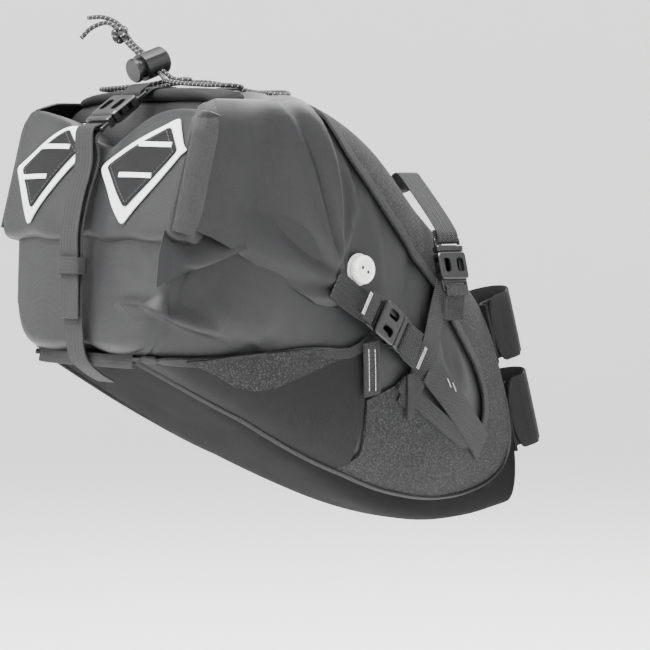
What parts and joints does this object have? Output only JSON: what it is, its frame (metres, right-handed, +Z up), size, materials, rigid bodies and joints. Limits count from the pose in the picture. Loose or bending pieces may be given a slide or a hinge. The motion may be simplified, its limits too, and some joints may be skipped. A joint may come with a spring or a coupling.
{
  "type": "saddle bag",
  "caption": "Bikepacking saddle bag: a tapered dry bag with a rolled rear closure, held in a harness with buckled straps for the saddle rails and seatpost.",
  "frame": {"origin": "middle of the flat pad face that leans on the back of the seatpost", "axes": "+X to the front of the bicycle, +Y to its left side, +Z up; the pad face's normal leans 15.4 degrees up from +X"},
  "size_m": [0.386, 0.2044, 0.3379],
  "materials": {
    "coated_fabric": "thin coated ripstop with a soft sheen, dark grey",
    "harness_coated": "smooth coated fabric, nearly black",
    "harness_floor": "smooth coated fabric, black",
    "packcloth": "coarse speckled packcloth with a ripstop grid, charcoal",
    "padding": "soft brushed pile, black",
    "reflective": "pale reflective print",
    "lash_fabric": "stitched fabric, dark grey",
    "hook_and_loop": "black loop tape",
    "moulded_black": "moulded acetal with a satin shine, black",
    "white_plastic": "moulded, white",
    "shock_cord": "braided sleeve with pale flecks, black",
    "webbing": "woven webbing, black"
  },
  "bodies": {
    "bag": {"dry_bag_body": "coated_fabric", "roll_top": "coated_fabric", "roll_wing_right": "coated_fabric", "roll_wing_left": "coated_fabric", "lash_border_right": "reflective", "lash_patch_right": "lash_fabric", "lash_border_left": "reflective", "lash_patch_left": "lash_fabric", "harness_floor": "harness_floor", "harness_side_right": "harness_coated", "harness_side_left": "harness_coated", "harness_nose": "packcloth", "top_bar": "padding", "window_strap_right": "webbing", "window_brace_right": "webbing", "window_strap_left": "webbing", "window_brace_left": "webbing", "side_buckle_right_socket": "moulded_black", "roll_webbing_right": "webbing", "side_strap_right": "webbing", "side_buckle_left_socket": "moulded_black", "roll_webbing_left": "webbing", "side_strap_left": "webbing", "rear_buckle_socket": "moulded_black", "rear_anchor_webbing": "webbing", "rear_strap": "webbing", "strap_keeper": "webbing", "rail_buckle_right_socket": "moulded_black", "rail_anchor_right": "webbing", "rail_strap_right": "webbing", "rail_buckle_left_socket": "moulded_black", "rail_anchor_left": "webbing", "rail_strap_left": "webbing", "seatpost_pad": "padding", "post_strap_upper": "hook_and_loop", "post_tab_upper": "hook_and_loop", "post_strap_lower": "hook_and_loop", "post_tab_lower": "hook_and_loop", "valve_base": "white_plastic", "cord_lock_barrel": "moulded_black", "shock_cord": "shock_cord"},
    "rear_buckle_plug": {"rear_buckle_plug": "moulded_black"},
    "rear_buckle_prong_a": {"rear_buckle_prong_a": "moulded_black"},
    "rear_buckle_prong_b": {"rear_buckle_prong_b": "moulded_black"},
    "side_buckle_right_plug": {"side_buckle_right_plug": "moulded_black"},
    "side_buckle_right_prong_a": {"side_buckle_right_prong_a": "moulded_black"},
    "side_buckle_right_prong_b": {"side_buckle_right_prong_b": "moulded_black"},
    "side_buckle_left_plug": {"side_buckle_left_plug": "moulded_black"},
    "side_buckle_left_prong_a": {"side_buckle_left_prong_a": "moulded_black"},
    "side_buckle_left_prong_b": {"side_buckle_left_prong_b": "moulded_black"},
    "rail_buckle_right_plug": {"rail_buckle_right_plug": "moulded_black"},
    "rail_buckle_right_prong_a": {"rail_buckle_right_prong_a": "moulded_black"},
    "rail_buckle_right_prong_b": {"rail_buckle_right_prong_b": "moulded_black"},
    "rail_buckle_left_plug": {"rail_buckle_left_plug": "moulded_black"},
    "rail_buckle_left_prong_a": {"rail_buckle_left_prong_a": "moulded_black"},
    "rail_buckle_left_prong_b": {"rail_buckle_left_prong_b": "moulded_black"},
    "valve_knob": {"valve_knob": "white_plastic"},
    "cord_lock_button": {"cord_lock_button": "moulded_black"}
  },
  "joints": [
    {"name": "rear_buckle_release", "type": "slide", "parent": "bag", "child": "rear_buckle_plug", "axis": [-0.8181, 0, -0.5751], "range_m": [0, 0.0065], "stiffness_N_per_m": 400, "deforming": ["rear_strap"]},
    {"name": "rear_buckle_prong_a_flex", "type": "hinge", "parent": "rear_buckle_plug", "child": "rear_buckle_prong_a", "pos_m": [-0.31123, -0.0079, 0.17131], "axis": [-0.5751, 0, 0.8181], "range_deg": [0, 14]},
    {"name": "rear_buckle_prong_b_flex", "type": "hinge", "parent": "rear_buckle_plug", "child": "rear_buckle_prong_b", "pos_m": [-0.31123, 0.0079, 0.17131], "axis": [0.5751, 0, -0.8181], "range_deg": [0, 14]},
    {"name": "side_buckle_right_release", "type": "slide", "parent": "bag", "child": "side_buckle_right_plug", "axis": [0.8353, 0.1595, -0.5262], "range_m": [0, 0.00585], "stiffness_N_per_m": 400, "deforming": ["side_strap_right"]},
    {"name": "side_buckle_right_prong_a_flex", "type": "hinge", "parent": "side_buckle_right_plug", "child": "side_buckle_right_prong_a", "pos_m": [-0.14162, -0.0932, 0.04197], "axis": [0.1781, -0.9839, -0.0155], "range_deg": [0, 14]},
    {"name": "side_buckle_right_prong_b_flex", "type": "hinge", "parent": "side_buckle_right_plug", "child": "side_buckle_right_prong_b", "pos_m": [-0.14902, -0.09435, 0.02988], "axis": [-0.1781, 0.9839, 0.0155], "range_deg": [0, 14]},
    {"name": "side_buckle_left_release", "type": "slide", "parent": "bag", "child": "side_buckle_left_plug", "axis": [0.8353, -0.1595, -0.5262], "range_m": [0, 0.00585], "stiffness_N_per_m": 400, "deforming": ["side_strap_left"]},
    {"name": "side_buckle_left_prong_a_flex", "type": "hinge", "parent": "side_buckle_left_plug", "child": "side_buckle_left_prong_a", "pos_m": [-0.14902, 0.09435, 0.02988], "axis": [0.1781, 0.9839, -0.0155], "range_deg": [0, 14]},
    {"name": "side_buckle_left_prong_b_flex", "type": "hinge", "parent": "side_buckle_left_plug", "child": "side_buckle_left_prong_b", "pos_m": [-0.14162, 0.0932, 0.04197], "axis": [-0.1781, -0.9839, 0.0155], "range_deg": [0, 14]},
    {"name": "rail_buckle_right_release", "type": "slide", "parent": "bag", "child": "rail_buckle_right_plug", "axis": [0, 0.2885, 0.9575], "range_m": [0, 0.00553], "stiffness_N_per_m": 400, "deforming": ["rail_strap_right"]},
    {"name": "rail_buckle_right_prong_a_flex", "type": "hinge", "parent": "rail_buckle_right_plug", "child": "rail_buckle_right_prong_a", "pos_m": [-0.08972, -0.0676, 0.08787], "axis": [0, -0.9575, 0.2885], "range_deg": [0, 14]},
    {"name": "rail_buckle_right_prong_b_flex", "type": "hinge", "parent": "rail_buckle_right_plug", "child": "rail_buckle_right_prong_b", "pos_m": [-0.07629, -0.0676, 0.08787], "axis": [0, 0.9575, -0.2885], "range_deg": [0, 14]},
    {"name": "rail_buckle_left_release", "type": "slide", "parent": "bag", "child": "rail_buckle_left_plug", "axis": [0, -0.2885, 0.9575], "range_m": [0, 0.00553], "stiffness_N_per_m": 400, "deforming": ["rail_strap_left"]},
    {"name": "rail_buckle_left_prong_a_flex", "type": "hinge", "parent": "rail_buckle_left_plug", "child": "rail_buckle_left_prong_a", "pos_m": [-0.07629, 0.0676, 0.08787], "axis": [0, 0.9575, 0.2885], "range_deg": [0, 14]},
    {"name": "rail_buckle_left_prong_b_flex", "type": "hinge", "parent": "rail_buckle_left_plug", "child": "rail_buckle_left_prong_b", "pos_m": [-0.08972, 0.0676, 0.08787], "axis": [0, -0.9575, -0.2885], "range_deg": [0, 14]},
    {"name": "valve_turn", "type": "hinge", "parent": "bag", "child": "valve_knob", "pos_m": [-0.17336, -0.09299, 0.07653], "axis": [0.1594, -0.9872, 0.0072], "range_deg": [0, 90]},
    {"name": "cord_lock_press", "type": "slide", "parent": "bag", "child": "cord_lock_button", "axis": [0.9433, 0.0174, 0.3315], "range_m": [0, 0.0035], "stiffness_N_per_m": 900}
  ],
  "couplings": [
    {"joint": "rear_buckle_prong_a_flex", "follows": "rear_buckle_release", "rad_per_m": 35.26},
    {"joint": "rear_buckle_prong_b_flex", "follows": "rear_buckle_release", "rad_per_m": 35.26},
    {"joint": "side_buckle_right_prong_a_flex", "follows": "side_buckle_right_release", "rad_per_m": 39.178},
    {"joint": "side_buckle_right_prong_b_flex", "follows": "side_buckle_right_release", "rad_per_m": 39.178},
    {"joint": "side_buckle_left_prong_a_flex", "follows": "side_buckle_left_release", "rad_per_m": 39.178},
    {"joint": "side_buckle_left_prong_b_flex", "follows": "side_buckle_left_release", "rad_per_m": 39.178},
    {"joint": "rail_buckle_right_prong_a_flex", "follows": "rail_buckle_right_release", "rad_per_m": 41.482},
    {"joint": "rail_buckle_right_prong_b_flex", "follows": "rail_buckle_right_release", "rad_per_m": 41.482},
    {"joint": "rail_buckle_left_prong_a_flex", "follows": "rail_buckle_left_release", "rad_per_m": 41.482},
    {"joint": "rail_buckle_left_prong_b_flex", "follows": "rail_buckle_left_release", "rad_per_m": 41.482}
  ]
}
